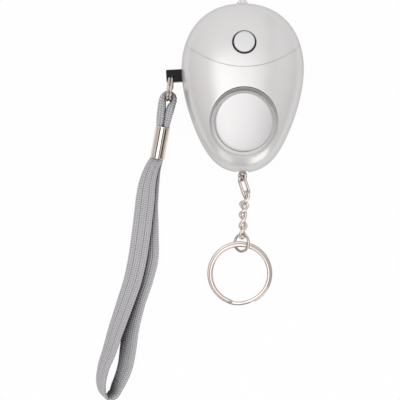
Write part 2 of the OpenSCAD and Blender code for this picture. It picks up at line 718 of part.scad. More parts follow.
module battery_link_top() color("silver")
  strip(cell_at[1], cell_at[2], tray_top - strip_t, strip_t, strip_w);
module battery_link_bottom() color("silver")
  strip(cell_at[0], cell_at[1], tray_base - strip_t, strip_t, strip_w);
module battery_plus() color("silver") translate(cell_at[0]) {
  rod(strip_w, tray_top - strip_t, tray_top);
  translate([-strip_t / 2, -strip_w / 4, tray_top - eps])
    cube([strip_t, strip_w / 2, board_under - tray_top + eps]);
}
module battery_minus() color("silver") translate([-strip_w / 2, 0, 0]) {
  lift = tray_top + minus_rise;
  translate([0, minus_y, tray_base - strip_t]) cube([strip_w, cell_low_y - minus_y, strip_t]);
  translate([0, minus_y, tray_base - strip_t]) cube([strip_w, strip_t, lift + 2 * strip_t - tray_base]);
  translate([0, minus_y, lift]) cube([strip_w, board_low + minus_in - minus_y, strip_t]);
  translate([0, board_low + minus_in - strip_t, lift]) cube([strip_w, strip_t, board_under - lift]);
}

module screw(head_d, head_h, z0, z1) {
  difference() {
    rod(head_d, z0 - head_h, z0);
    translate([0, 0, z0 - head_h]) for (a = [0, 90]) rotate([0, 0, a])
      cube([cross_l, cross_w, 2 * cross_deep], center = true);
  }
  rod(screw_bore_d - thread_fit, z0 - eps, z1);
}
module case_screws() color("silver") for (p = screw_at) translate(p)
  screw(screw_head_d, screw_head_h, screw_seat, joint_z + screw_reach);
module board_screws() color("silver") for (p = board_screw_at) translate(p)
  screw(board_head_d, board_head_h, board_under, board_top + board_screw_reach);

module chain_eye() color("silver") translate([0, 0, joint_z]) {
  translate([0, eye_y, 0]) rotate([0, eye_roll, 0])
    rotate_extrude() translate([eye_mid_r, 0]) circle(link_r);
  translate([0, chain_end + wall + eye_head_t, 0]) rotate([90, 0, 0])
    cylinder(d = eye_shank_d, h = chain_end + wall + eye_head_t - eye_y - eye_mid_r);
  translate([0, chain_end + wall + eye_head_t, 0]) rotate([90, 0, 0])
    cylinder(d = eye_head_d, h = eye_head_t);
}

module pull_pin() color([0.15, 0.15, 0.16]) at_pin() {
  difference() {
    translate([-pin_out - pin_seat, -pin_w / 2, -pin_t / 2])
      cube([pin_out + pin_seat + pin_in, pin_w, pin_t]);
    translate([-pin_out - pin_seat + hole_back, hole_off, 0]) rod(pin_hole_d, -far / 2, far / 2);
  }
  translate([pin_in - eps, -tongue_w / 2, -tongue_t / 2]) cube([tongue_l, tongue_w, tongue_t]);
}

module strap_ring() color("silver") translate(ring_mid) rotate([0, 0, -ring_lean]) rotate([0, 90, 0])
  rotate([0, 0, ring_start]) sweep(split_route(ring_r, ring_turn_gap, ring_wire, ring_wire, ring_steps));

module along(p, q) {
  d = q - p;
  translate(p) rotate([0, acos(d.z / norm(d)), atan2(d.y, d.x)]) children();
}
module rounded(x, y, r) {
  square([x, y - 2 * r], center = true);
  square([x - 2 * r, y], center = true);
  for (i = [-1, 1], j = [-1, 1]) translate([i * (x / 2 - r), j * (y / 2 - r)]) circle(r);
}
module strap_ferrule() color("silver") translate(strap_at) along(ferrule_top, ferrule_low)
  linear_extrude(norm(ferrule_low - ferrule_top)) difference() {
    rounded(ferrule_t, ferrule_w, ferrule_round);
    rounded(ferrule_t - 2 * ferrule_wall, ferrule_w - 2 * ferrule_wall, ferrule_round - ferrule_wall);
  }
module strap_top_loop() color("darkgray") translate(strap_at)
  sweep([for (p = loop_route) [[p[0], p[1], p[2]], [0, 0, 1], loop_w, p[3]]]);
module strap_wrist_loop() color("darkgray") translate(strap_at)
  sweep([for (i = [0:len(wrist_route) - 1])
    let (p = wrist_route[i], n = min(i, len(wrist_route) - 1 - i))
    [[p[0], p[1], p[2]], [cos(p[3]) * cos(wrist_turn), cos(p[3]) * sin(wrist_turn), sin(p[3])],
      n < len(wrist_neck) ? wrist_neck[n] : strap_w, strap_t]]);

module half_round() {
  rotate_extrude(angle = 180) translate([link_mid_r, 0]) circle(link_r);
}
// oval link that starts at its first arc's centre and runs towards -Y
module oval(l) {
  half_round();
  translate([0, -l, 0]) rotate([0, 0, 180]) half_round();
  for (s = [-1, 1]) translate([s * link_mid_r, 0, 0]) rotate([90, 0, 0]) cylinder(r = link_r, h = l);
}
module at_chain(i) {
  rotate([0, 0, chain_turn[i]]) rotate([chain_fall[i], 0, 0]) rotate([0, chain_roll[i], 0]) children();
}
module chain_link(i) color("silver") translate(chain_point(i))
  at_chain(i) oval(chain_l[i]);
module chain_link_1() chain_link(0);
module chain_link_2() chain_link(1);
module chain_link_3() chain_link(2);
module chain_link_4() chain_link(3);
module chain_link_5() chain_link(4);
module end_ring() color("silver") translate(end_mid) at_chain(end_at)
  rotate_extrude() translate([end_r, 0]) circle(d = end_ring_wire);
module key_ring() color("silver") translate(key_hook) rotate([0, 0, key_turn]) rotate([key_fall, 0, 0])
  translate([0, -key_r, 0]) rotate([0, 0, key_start])
    sweep(split_route(key_r, key_gap, key_ring_w, key_ring_t, key_steps));

front_shell();
upper_cover();
rear_shell();
horn_ring();
speaker_cover();
piezo_plate();
piezo_ceramic();
piezo_wire_red();
piezo_wire_black();
circuit_board();
switch_body();
switch_plunger();
torch_button();
led_lens();
led_leads();
control_chip();
coil_core();
coil_winding();
capacitor();
transistor();
resistors();
contact_upper();
contact_lower();
battery_tray();
battery_cell_left();
battery_cell_right();
battery_cell_low();
battery_plus();
battery_minus();
battery_link_top();
battery_link_bottom();
case_screws();
board_screws();
chain_eye();
pull_pin();
strap_ring();
strap_ferrule();
strap_top_loop();
strap_wrist_loop();
chain_link_1();
chain_link_2();
chain_link_3();
chain_link_4();
chain_link_5();
end_ring();
key_ring();
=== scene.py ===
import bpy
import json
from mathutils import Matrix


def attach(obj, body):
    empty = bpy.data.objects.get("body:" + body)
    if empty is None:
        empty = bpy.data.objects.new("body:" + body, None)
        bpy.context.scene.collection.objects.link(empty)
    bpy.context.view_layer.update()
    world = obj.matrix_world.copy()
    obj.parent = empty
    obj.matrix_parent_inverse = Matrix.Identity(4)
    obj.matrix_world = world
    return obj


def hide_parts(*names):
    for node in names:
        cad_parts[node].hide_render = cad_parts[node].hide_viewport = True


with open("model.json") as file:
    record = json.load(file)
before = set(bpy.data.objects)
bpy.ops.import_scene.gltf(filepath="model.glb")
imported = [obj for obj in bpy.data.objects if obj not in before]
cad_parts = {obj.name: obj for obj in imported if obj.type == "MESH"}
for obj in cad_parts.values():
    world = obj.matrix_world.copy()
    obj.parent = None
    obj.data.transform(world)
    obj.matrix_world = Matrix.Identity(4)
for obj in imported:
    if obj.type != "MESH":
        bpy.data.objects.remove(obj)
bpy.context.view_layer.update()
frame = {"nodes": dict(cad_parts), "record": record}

import json
import math

import bmesh
import bpy
import numpy as np
from mathutils import Matrix, Vector

MM = 0.001
scene = bpy.context.scene

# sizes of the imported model, in millimetres and degrees; the gap round the button is 0.15 wider here
HALF_W, BODY_L, WIDEST_UP, JOINT_Z = 23.0, 63.4, 8.5, 9.0
FRONT_RISE, COVER_RISE, BACK_RISE, WALL = 12.5, 12.8, 10.5, 1.6
EGG = (0.972, 0.226, 0.07, -0.085, 0.117)
DOME_P = 2.4
CROWN = np.array([0.0, -6.0])
CHAIN_END = -40.2
SPK, SPK_R, SPK_COVER_R = np.array([0.0, -22.2]), 12.65, 10.5
HORN_LIP, HORN_FALL, WELL_FLOOR = 0.35, 1.7, 13.8
BUTTON, BUTTON_R, BUTTON_HOLE_R = np.array([0.0, 6.6]), 3.8, 4.45
SEAM_Y, SEAM_R, SEAM_GAP = 25.9, 28.3, 0.2
LED_R, LED_TIP, LED_BASE = 2.4, 25.1, 16.5
PIN_AT, PIN_TILT = np.array([-22.0, -3.6, 9.0]), 3
RING_MID, RING_LEAN = np.array([-27.2748, -8.6708, 9.0]), 6.7
STRAP_AT = np.array([-27.7823, -12.9911, 0.0])
SCREWS = [(12.995, 13.0), (-12.995, 13.0), (12.995, -24.0), (-12.995, -24.0)]

# fineness of the meshes
RIM_STEPS, SECTION_STEPS, PATH_STEPS = 6000, 2001, 40
ROUND_SIDES, HOOP_SIDES, WIRE_SIDES, TOOL_SIDES = 144, 96, 16, 48
BRAID_STEP = 0.15
HALVINGS = 60


def angles(count):
    return np.arange(count) * 2 * math.pi / count


def polar(centre, r, ang):
    return centre + np.stack([r * np.cos(ang), r * np.sin(ang)], -1)


def circle(r, sides):
    return polar(0, r, angles(sides))


# shape of the case

def rim_at(a):
    c = np.cos(a)
    q = EGG[0] + EGG[1] * c + EGG[2] * c ** 2 + EGG[3] * c ** 3 + EGG[4] * c ** 6
    return np.stack([HALF_W * np.sin(a) * q, BODY_L / 2 * c - WIDEST_UP], -1)


half_rim = rim_at(np.linspace(0, math.pi, RIM_STEPS)) - CROWN
RIM_TURN = np.arctan2(half_rim[:, 0], half_rim[:, 1])
RIM_REACH = np.hypot(half_rim[:, 0], half_rim[:, 1])


def rim_reach(v):
    """Distance from the crown to the rim in the direction of v."""
    return np.interp(np.arctan2(np.abs(v[..., 0]), v[..., 1]), RIM_TURN, RIM_REACH)


def share(p):
    """How far a point is from the crown, as a share of the way to the rim."""
    v = np.asarray(p, float) - CROWN
    return np.hypot(v[..., 0], v[..., 1]) / rim_reach(v)


def dome(p, rise):
    f = np.clip(share(p), 0, 1)
    return rise * (1 - f ** DOME_P) ** (1 / DOME_P)


def front_z(p, rise=FRONT_RISE):
    return JOINT_Z + dome(p, rise)


def raised(p, z):
    """Points in the plane with their heights."""
    return np.concatenate([p, np.broadcast_to(z, p.shape[:-1])[..., None]], -1)


# mesh helpers

def grid_faces(rows, cols, wrap=True, start=0, closed=False):
    """Faces of a grid: wrap joins the last column to the first, and closed the last row to the first."""
    def at(i, j):
        return start + i % rows * cols + j % cols
    return [(at(i, j), at(i, j + 1), at(i + 1, j + 1), at(i + 1, j))
            for i in range(rows if closed else rows - 1) for j in range(cols if wrap else cols - 1)]


def wall_faces(loop, shift):
    """Faces between a closed loop of points and the same loop in the second half of the list."""
    return [(a, b, b + shift, a + shift) for a, b in zip(loop, loop[1:] + loop[:1])]


def add_object(name, verts, faces):
    mesh = bpy.data.meshes.new(name)
    mesh.from_pydata((np.asarray(verts, float) * MM).tolist(), [], faces)
    bm = bmesh.new()
    bm.from_mesh(mesh)
    bmesh.ops.recalc_face_normals(bm, faces=bm.faces)
    bm.to_mesh(mesh)
    bm.free()
    obj = bpy.data.objects.new(name, mesh)
    scene.collection.objects.link(obj)
    return obj


def bake(obj):
    """Puts the modifiers' result into the mesh."""
    graph = bpy.context.evaluated_depsgraph_get()
    mesh = bpy.data.meshes.new_from_object(obj.evaluated_get(graph))
    obj.modifiers.clear()
    obj.data = mesh
    return obj


BEVEL_ANGLE = 40


def bevel(obj, width, segments=3):
    mod = obj.modifiers.new("round", "BEVEL")
    mod.width = width * MM
    mod.segments = segments
    mod.limit_method = "ANGLE"
    mod.angle_limit = math.radians(BEVEL_ANGLE)
    return bake(obj)


def cut(obj, *tools):
    for tool in tools:
        mod = obj.modifiers.new("cut", "BOOLEAN")
        mod.object = tool
        mod.operation = "DIFFERENCE"
        mod.solver = "EXACT"
    bake(obj)
    for tool in tools:
        bpy.data.objects.remove(tool)
    return obj


def join(obj, other):
    """Puts another object's mesh into this one's."""
    bm = bmesh.new()
    bm.from_mesh(obj.data)
    bm.from_mesh(other.data)
    bm.to_mesh(obj.data)
    bm.free()
    bpy.data.objects.remove(other)
    return obj


def smooth(obj, angle):
    limit = math.radians(angle)
    bm = bmesh.new()
    bm.from_mesh(obj.data)
    for face in bm.faces:
        face.smooth = True
    for edge in bm.edges:
        edge.smooth = len(edge.link_faces) != 2 or edge.calc_face_angle(0) < limit
    bm.to_mesh(obj.data)
    bm.free()
    return obj


def box_tool(low, high, matrix=Matrix.Identity(4)):
    corners = [(x, y, z) for x in (low[0], high[0]) for y in (low[1], high[1]) for z in (low[2], high[2])]
    faces = [(0, 1, 3, 2), (4, 6, 7, 5), (0, 4, 5, 1), (2, 3, 7, 6), (0, 2, 6, 4), (1, 5, 7, 3)]
    return add_object("tool", [matrix @ Vector(c) for c in corners], faces)


# a direction that no rod runs in
ASKEW = (0.31, 0.62, 0.11)


def rod_tool(p, q, r):
    return sweep("tool", np.array([p, q], float), np.array([ASKEW] * 2), circle(r, TOOL_SIDES))


def frames(path, across):
    t = np.gradient(path, axis=0)
    t /= np.linalg.norm(t, axis=1)[:, None]
    w = across - (across * t).sum(1)[:, None] * t
    w /= np.linalg.norm(w, axis=1)[:, None]
    return w, np.cross(t, w)


def sweep(name, path, across, section, closed=False):
    """Body along a path. section is (points, 2) or (path, points, 2)."""
    if closed:
        ring = np.concatenate([path[-2:], path, path[:2]])
        w, n = frames(ring, np.concatenate([across[-2:], across, across[:2]]))
        w, n = w[2:-2], n[2:-2]
    else:
        w, n = frames(path, across)
    section = np.broadcast_to(section, (len(path),) + section.shape[-2:])
    verts = path[:, None] + section[..., :1] * w[:, None] + section[..., 1:] * n[:, None]
    rows, cols = verts.shape[:2]
    faces = grid_faces(rows, cols, closed=closed)
    if not closed:
        faces += [tuple(range(cols - 1, -1, -1)), tuple((rows - 1) * cols + j for j in range(cols))]
    return add_object(name, verts.reshape(-1, 3), faces)


def lathe(name, profile, centre, height, sides, axis="z"):
    """Body turned about a line. profile has (radius, height) and closes on the line at both ends."""
    a = angles(sides)
    rows = [[centre[0] + r * np.cos(a), centre[1] + r * np.sin(a), height(r, z, a)] for r, z in profile]
    verts = np.array(rows).transpose(0, 2, 1).reshape(-1, 3)
    faces = grid_faces(len(profile), sides)
    first, last = len(verts), len(verts) + 1
    ends = [verts[:sides].mean(0), verts[-sides:].mean(0)]
    faces += [(first, (j + 1) % sides, j) for j in range(sides)]
    base = (len(profile) - 1) * sides
    faces += [(last, base + j, base + (j + 1) % sides) for j in range(sides)]
    verts = np.concatenate([verts, ends])
    if axis == "y":
        verts = np.stack([verts[:, 0], verts[:, 2], -verts[:, 1] + 2 * centre[1]], -1)
    return add_object(name, verts, faces)


def run_of(points):
    """Length along a line of points, at each point."""
    return np.concatenate([[0], np.cumsum(np.linalg.norm(np.diff(points, axis=0), axis=1))])


def smooth_path(points, step):
    """Curve through the points, with a point about every step, and its length."""
    points = np.asarray(points, float)
    chord = run_of(points[:, :3])
    slope = np.gradient(points, chord, axis=0)
    at = np.linspace(0, chord[-1], PATH_STEPS * len(points))

    def value(s):
        i = np.clip(np.searchsorted(chord, s, side="right") - 1, 0, len(chord) - 2)
        h = (chord[i + 1] - chord[i])[:, None]
        u = ((s - chord[i])[:, None]) / h
        return ((2 * u ** 3 - 3 * u ** 2 + 1) * points[i] + (u ** 3 - 2 * u ** 2 + u) * h * slope[i]
                + (3 * u ** 2 - 2 * u ** 3) * points[i + 1] + (u ** 3 - u ** 2) * h * slope[i + 1])
    run = run_of(value(at)[:, :3])
    even = np.linspace(0, run[-1], int(run[-1] / step))
    return value(np.interp(even, run, at)), run[-1]


def finish_piece(obj, body, slot, material, *nodes, angle=38):
    smooth(obj, angle)
    obj.data.materials.clear()
    obj.data.materials.append(material)
    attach(obj, body)
    if nodes:
        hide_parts(*nodes)
    return obj


# materials

MIX_AMOUNT, MIX_LOW, MIX_HIGH, MIX_RESULT = 0, 6, 7, 2
NOISE_DETAIL, RELIEF_STRENGTH, SHEEN_ROUGH, SMOOTHEST, IOR = 4.0, 0.6, 0.5, 0.02, 1.5


def add_node(tree, kind, values=None, **settings):
    """New shader node, with the values of its free inputs."""
    node = tree.nodes.new("ShaderNode" + kind)
    for name, setting in settings.items():
        setattr(node, name, setting)
    for name, value in (values or {}).items():
        node.inputs[name].default_value = value
    return node


def blend(tree, amount, low, high):
    """Colour from low to high by an amount; high may come from another node."""
    mix = add_node(tree, "Mix", data_type="RGBA")
    mix.inputs[MIX_LOW].default_value = (*low, 1)
    if isinstance(high, bpy.types.NodeSocket):
        tree.links.new(high, mix.inputs[MIX_HIGH])
    else:
        mix.inputs[MIX_HIGH].default_value = (*high, 1)
    tree.links.new(amount, mix.inputs[MIX_AMOUNT])
    return mix.outputs[MIX_RESULT]


def material(name, colour, rough, metallic=0.0, grain=900.0, vary=0.05, rough_vary=0.05, bump=0.0,
             sheen=0.0, specular=0.5, transmission=0.0, edge=1.0):
    """Principled surface whose colour, roughness and relief follow a fine noise."""
    mat = bpy.data.materials.new(name)
    mat.use_nodes = True
    tree = mat.node_tree
    shader = tree.nodes["Principled BSDF"]
    shader.inputs["Metallic"].default_value = metallic
    shader.inputs["Specular IOR Level"].default_value = specular
    shader.inputs["Specular Tint"].default_value = (edge, edge, edge, 1)
    shader.inputs["IOR"].default_value = IOR
    shader.inputs["Sheen Weight"].default_value = sheen
    shader.inputs["Sheen Roughness"].default_value = SHEEN_ROUGH
    shader.inputs["Transmission Weight"].default_value = transmission
    place = add_node(tree, "TexCoord")
    noise = add_node(tree, "TexNoise", {"Scale": grain, "Detail": NOISE_DETAIL})
    tree.links.new(place.outputs["Object"], noise.inputs["Vector"])
    low, high = ([min(1, c * (1 + change)) for c in colour] for change in (-vary, vary))
    tree.links.new(blend(tree, noise.outputs["Fac"], low, high), shader.inputs["Base Color"])
    span = add_node(tree, "MapRange", {"To Min": max(SMOOTHEST, rough - rough_vary),
                                       "To Max": min(1, rough + rough_vary)})
    tree.links.new(noise.outputs["Fac"], span.inputs["Value"])
    tree.links.new(span.outputs["Result"], shader.inputs["Roughness"])
    if bump:
        relief = add_node(tree, "Bump", {"Strength": RELIEF_STRENGTH, "Distance": bump * MM})
        tree.links.new(noise.outputs["Fac"], relief.inputs["Height"])
        tree.links.new(relief.outputs["Normal"], shader.inputs["Normal"])
    return mat


def lacquer(name, colour, rough, metallic, grain=4500, **more):
    return material(name, colour, rough, metallic, grain=grain, bump=0.002, **more)


def nickel(name, colour, rough):
    return material(name, colour, rough, 1.0, grain=1500, bump=0.002)


SILVER = lacquer("silver_lacquer", (0.70, 0.686, 0.677), 0.29, 0.42, vary=0.03, rough_vary=0.03, edge=0.35)
# the horn ring's lacquer is the silver made darker, partly as painted shade for its recess
HORN = lacquer("horn_lacquer", (0.60, 0.59, 0.582), 0.40, 0.3, vary=0.04, edge=0.6)
DISC = lacquer("cover_lacquer", (0.665, 0.655, 0.649), 0.32, 0.42, 2500, vary=0.02, rough_vary=0.03,
               edge=0.6)
CAP = lacquer("button_lacquer", (0.69, 0.683, 0.683), 0.36, 0.35, vary=0.03, edge=0.6)
BLACK = material("black_plastic", (0.013, 0.013, 0.014), 0.45, grain=2600, vary=0.25, rough_vary=0.1,
                 bump=0.012, edge=0.25)
NICKEL = nickel("nickel_plate", (0.56, 0.50, 0.463), 0.12)
FERRULE = nickel("ferrule_nickel", (0.75, 0.672, 0.61), 0.14)
# painted light: a lighter copy of the nickel for links 2 to 5, against the shade where the links hide each
# other
LINK_LIT_NICKEL = nickel("nickel_links_painted_light", (0.68, 0.615, 0.578), 0.2)
# painted shade for the bottom of the ferrule's slits
SLIT_SHADE = material("seam_shade", (0.05, 0.036, 0.03), 0.5, grain=1500, vary=0.1, bump=0.002, edge=0.3)
LENS = material("clear_lens", (0.90, 0.91, 0.92), 0.16, grain=600, vary=0.03, transmission=0.55)

SHUT_IN, SHUT_SAMPLES, SHUT_FROM, SHUT_TO = 7.0, 8, 0.40, 0.90


def yarn(name, dark, low, high, rough):
    """Braided yarn: low to high by the mesh's attribute stitch, a painted shade in the furrows between
    stitches, and dark where little light gets in, a painted shade of the hollows.
    """
    mat = material(name, high, rough, grain=3200, vary=0.1, rough_vary=0.1, bump=0.04, sheen=0.15,
                   specular=0.25)
    tree = mat.node_tree
    shader = tree.nodes["Principled BSDF"]
    fibre = shader.inputs["Base Color"].links[0].from_socket
    height = add_node(tree, "Attribute", attribute_name="stitch")
    # painted shade: the yarn's colour goes to dark where the ambient occlusion finds it hidden from open
    # air
    hollow = add_node(tree, "AmbientOcclusion", {"Distance": SHUT_IN * MM}, samples=SHUT_SAMPLES)
    open_air = add_node(tree, "MapRange", {"From Min": SHUT_FROM, "From Max": SHUT_TO})
    tree.links.new(hollow.outputs["AO"], open_air.inputs["Value"])
    fibre = blend(tree, height.outputs["Fac"], low, fibre)
    fibre = blend(tree, open_air.outputs["Result"], dark, fibre)
    tree.links.new(fibre, shader.inputs["Base Color"])
    return mat


# dark and low are painted shade colours, for the hollows and for the furrows between stitches
STRAP = yarn("grey_braid", (0.06, 0.057, 0.06), (0.22, 0.214, 0.222), (0.60, 0.585, 0.604), 0.85)

INSIDE = {
    "board": material("solder_mask", (0.02, 0.14, 0.05), 0.35, grain=700, vary=0.3, bump=0.01),
    "brass": material("brass_leaf", (0.72, 0.53, 0.22), 0.28, 1.0, grain=1400, vary=0.08, bump=0.003),
    "ceramic": material("fired_ceramic", (0.80, 0.77, 0.70), 0.6, grain=2500, vary=0.06, bump=0.006),
    "red_wire": material("red_sleeve", (0.50, 0.02, 0.02), 0.4, grain=900, vary=0.15, bump=0.004),
    "black_plastic": BLACK,
    "steel": material("plated_steel", (0.60, 0.60, 0.62), 0.24, 1.0, grain=1800, vary=0.08, rough_vary=0.1,
                      bump=0.003),
    "ferrite": material("ferrite", (0.06, 0.06, 0.065), 0.7, grain=3000, vary=0.3, bump=0.01),
    "copper": material("enamelled_copper", (0.55, 0.22, 0.09), 0.25, 1.0, grain=2600, vary=0.15, bump=0.02),
    "blue_sleeve": material("shrink_sleeve", (0.02, 0.04, 0.20), 0.3, grain=800, vary=0.15, bump=0.004),
    "nickel": NICKEL,
    "case": SILVER,
    "lens": LENS,
}
for subpart in frame["record"]["subparts"]:
    node = frame["nodes"][subpart["node"]]
    node.data.materials.clear()
    node.data.materials.append(INSIDE.get(subpart["material_slot"], SILVER))

# camera: it looks straight down, and its half is half the picture's width on the table
CAMERA_AT, CAMERA_UP, CAMERA_HALF, CAMERA_NEAR = (-16.0, -50.5), 290, 77.8, 10

camera = bpy.data.objects.new("camera", bpy.data.cameras.new("camera"))
scene.collection.objects.link(camera)
camera.location = Vector((*CAMERA_AT, CAMERA_UP)) * MM
camera.data.sensor_fit = "HORIZONTAL"
camera.data.angle = 2 * math.atan(CAMERA_HALF / CAMERA_UP)
camera.data.clip_start = CAMERA_NEAR * MM
scene.camera = camera

# strap: x, y and z from the ring, then the loop's thickness or the wrist strap's lean in degrees
LOOP_W, LOOP_PLUMP = 3.4, 0.3
LOOP_ROUTE = [(-3.85, -11, 5.2, 2.1), (-3.5, -9.2, 5.6, 2.2), (-3.3, -7.2, 6.3, 2.6), (-3, -4.6, 7.2, 2.7),
              (-2.7, -2.4, 8, 2.6), (-2.5, -0.6, 8.7, 2.4), (-2.3, 0.7, 9, 2), (-1.5, 1.95, 9, 2),
              (-0.25, 2.45, 9, 2), (1, 2.1, 9, 1.9), (1.95, 1.15, 9, 1.6), (2, 0, 8.8, 1.5),
              (1.6, -1, 8.5, 1.7), (0.95, -2.1, 8.1, 2.4), (0.2, -4, 7.4, 2.7), (-0.45, -6.6, 6.5, 2.4),
              (-1.05, -9.2, 5.7, 2.1), (-1.4, -11, 5.2, 2.1)]
STRAP_W, STRAP_T, NECK, WRIST_TURN = 7.3, 1.5, (4.4, 4.7, 5.3, 6.6), math.radians(-12)
WRIST_ROUTE = [(-4.3, -19, 3.9, 0), (-4.8, -21.3, 3.3, 0), (-6.6, -24.8, 3.1, 0), (-8.6, -31.5, 3.1, 0),
               (-9.3, -37.1, 3.1, 0), (-10.7, -49, 3.2, 3), (-12.4, -60.7, 3.3, 8), (-13.9, -67.7, 3.4, 15),
               (-17.3, -78.1, 3.8, 25), (-20.8, -88.4, 4.3, 35), (-22.9, -95.2, 4.7, 42),
               (-25.3, -102.1, 4.9, 52), (-26, -108.8, 4.9, 58), (-25.3, -111.4, 4.8, 62),
               (-23.7, -112.8, 4.5, 62), (-21.7, -112, 4.2, 58), (-19.9, -108.8, 3.9, 50),
               (-17.2, -102.1, 3.4, 38), (-16, -95.2, 2.9, 29), (-15.2, -88.4, 2.6, 26),
               (-12.9, -78.1, 2.3, 24), (-9.6, -67.7, 1.9, 18), (-8, -60.7, 1.5, 10), (-7.9, -49, 1.1, 4),
               (-8, -37.1, 0.9, 0), (-7.3, -31.5, 0.8, 0), (-6, -25, 1, 0), (-4.8, -21.3, 1.7, 0),
               (-4.3, -19, 2.3, 0)]
BRAID_POWER, FURROW_EVERY, FURROW_SHARE, STITCH_FALL = 2.7, 3, 0.58, 0.8
BRAID_ANGLE = 60


def even_section(a, b, power, sides):
    """Points spread evenly round a rounded flat section, with their outward directions and run."""
    f = np.linspace(0, 2 * math.pi, SECTION_STEPS)
    x = a * np.sign(np.cos(f)) * np.abs(np.cos(f)) ** (2 / power)
    y = b * np.sign(np.sin(f)) * np.abs(np.sin(f)) ** (2 / power)
    run = run_of(np.stack([x, y], -1))
    at = np.arange(sides) * run[-1] / sides
    p = np.stack([np.interp(at, run, x), np.interp(at, run, y)], -1)
    q = np.roll(p, -1, 0) - np.roll(p, 1, 0)
    n = np.stack([q[:, 1], -q[:, 0]], -1)
    return p, n / np.linalg.norm(n, axis=1)[:, None], at, run[-1]


def braid(name, points, across, width, thick, sides, columns, pitch, relief, slope, furrow):
    """Flat braided tube along a path: columns of slanting stitches, each a small bump."""
    p, n, at, around = even_section(0.5, 0.5 * np.median(thick) / np.median(width), BRAID_POWER, sides)
    col = at / around * columns
    c = np.floor(col)
    x = 2 * (col - c) - 1
    slant = np.where(c % 2 == 0, slope, -slope)
    row = run_of(points)[:, None] / pitch + slant * x
    y = 2 * (row - np.floor(row)) - 1
    deep = np.where((c + (x > 0)) % FURROW_EVERY == 0, furrow, FURROW_SHARE * furrow)
    height = (1 - deep * np.abs(x) ** 3) * (1 - STITCH_FALL * y ** 2)
    flat = np.empty(height.shape + (2,))
    flat[..., 0] = p[:, 0] * width[:, None]
    flat[..., 1] = p[:, 1] * np.median(width) * (thick / np.median(thick))[:, None]
    obj = sweep(name, points, across, flat + n * (relief * (height - 0.5))[..., None])
    # the stitch height is kept for the yarn's colour, which paints shade into the low parts of each stitch
    obj.data.attributes.new("stitch", "FLOAT", "POINT").data.foreach_set("value", height.ravel())
    return obj


route = np.array(LOOP_ROUTE) + np.append(STRAP_AT, 0)
loop_line, loop_run = smooth_path(route, BRAID_STEP)
loop = braid("top_loop", loop_line[:, :3], np.tile([0.0, 0.0, 1.0], (len(loop_line), 1)),
             np.full(len(loop_line), LOOP_W), loop_line[:, 3] + LOOP_PLUMP,
             sides=84, columns=12, pitch=0.9, relief=0.26, slope=0.15, furrow=0.6)
finish_piece(loop, "strap", "strap", STRAP, "strap_top_loop", angle=BRAID_ANGLE)

route = np.array(WRIST_ROUTE)
widths = np.full(len(route), STRAP_W)
widths[:len(NECK)] = NECK
widths[-len(NECK):] = NECK[::-1]
route = np.column_stack([route[:, :3] + STRAP_AT, np.radians(route[:, 3]), widths])
wrist_line, wrist_run = smooth_path(route, BRAID_STEP)
lean = wrist_line[:, 3]
lie = np.stack([np.cos(lean) * math.cos(WRIST_TURN), np.cos(lean) * math.sin(WRIST_TURN), np.sin(lean)], -1)
wrist = braid("wrist_loop", wrist_line[:, :3], lie, np.clip(wrist_line[:, 4], NECK[0], STRAP_W),
              np.full(len(wrist_line), STRAP_T),
              sides=144, columns=18, pitch=0.85, relief=0.2, slope=0.35, furrow=1.0)
finish_piece(wrist, "strap", "strap", STRAP, "strap_wrist_loop", angle=BRAID_ANGLE)

# ferrule: a sleeve with rolled ends round both loops
FERRULE_TOP, FERRULE_LOW = STRAP_AT + [-2.3, -9.3, 5.6], STRAP_AT + [-4.7, -21.3, 2.5]
FERRULE_HALF_W, FERRULE_HALF_T, FERRULE_POWER, FERRULE_SIDES = 2.85, 2.35, 2.1, 360
FERRULE_END = [(0.35, 0.80), (0.05, 0.86), (0.0, 0.93), (0.06, 0.985), (0.3, 1.0), (0.9, 0.985)]
FERRULE_WAIST, FERRULE_ANGLE = 0.98, 35
SLITS, SLIT_DEEP, SLIT_POWER = ((-0.72, 0.15), (0.62, 0.1), (1.5, 0.22)), 0.35, 6

length = np.linalg.norm(FERRULE_LOW - FERRULE_TOP)
along = (FERRULE_LOW - FERRULE_TOP) / length
aside = np.cross([0, 0, 1.0], along)
aside /= np.linalg.norm(aside)
upward = np.cross(along, aside)
outer = even_section(FERRULE_HALF_W, FERRULE_HALF_T, FERRULE_POWER, FERRULE_SIDES)[0]
on_top = outer[:, 1] > 0
for x, half in SLITS:
    outer[on_top, 1] -= SLIT_DEEP * np.exp(-((outer[on_top, 0] - x) / half) ** SLIT_POWER)
profile = FERRULE_END + [(length / 2, FERRULE_WAIST)] + [(length - s, k) for s, k in reversed(FERRULE_END)]
verts = [FERRULE_TOP + along * s + k * (outer[:, :1] * aside + outer[:, 1:] * upward) for s, k in profile]
ferrule = add_object("ferrule", np.concatenate(verts), grid_faces(len(profile), FERRULE_SIDES, closed=True))
finish_piece(ferrule, "strap", "nickel", FERRULE, "strap_ferrule", angle=FERRULE_ANGLE)

# painted shade: a dark strip along the bottom of each slit in the ferrule
SHADE_FROM_END, SHADE_STEPS, SHADE_SIDES, SHADE_FILL, SHADE_T = 0.4, 30, 12, 0.85, 0.1

for x, half in SLITS:
    up = FERRULE_HALF_T * math.sqrt(1 - (x / FERRULE_HALF_W) ** 2) - SLIT_DEEP + SHADE_T
    runs = np.linspace(SHADE_FROM_END, length - SHADE_FROM_END, SHADE_STEPS)
    line = FERRULE_TOP + runs[:, None] * along + x * aside + up * upward
    seam = sweep("ferrule_slit_shade", line, np.tile(aside, (SHADE_STEPS, 1)),
                 circle(1, SHADE_SIDES) * [SHADE_FILL * half, SHADE_T])
    finish_piece(seam, "strap", "strap", SLIT_SHADE)


# case

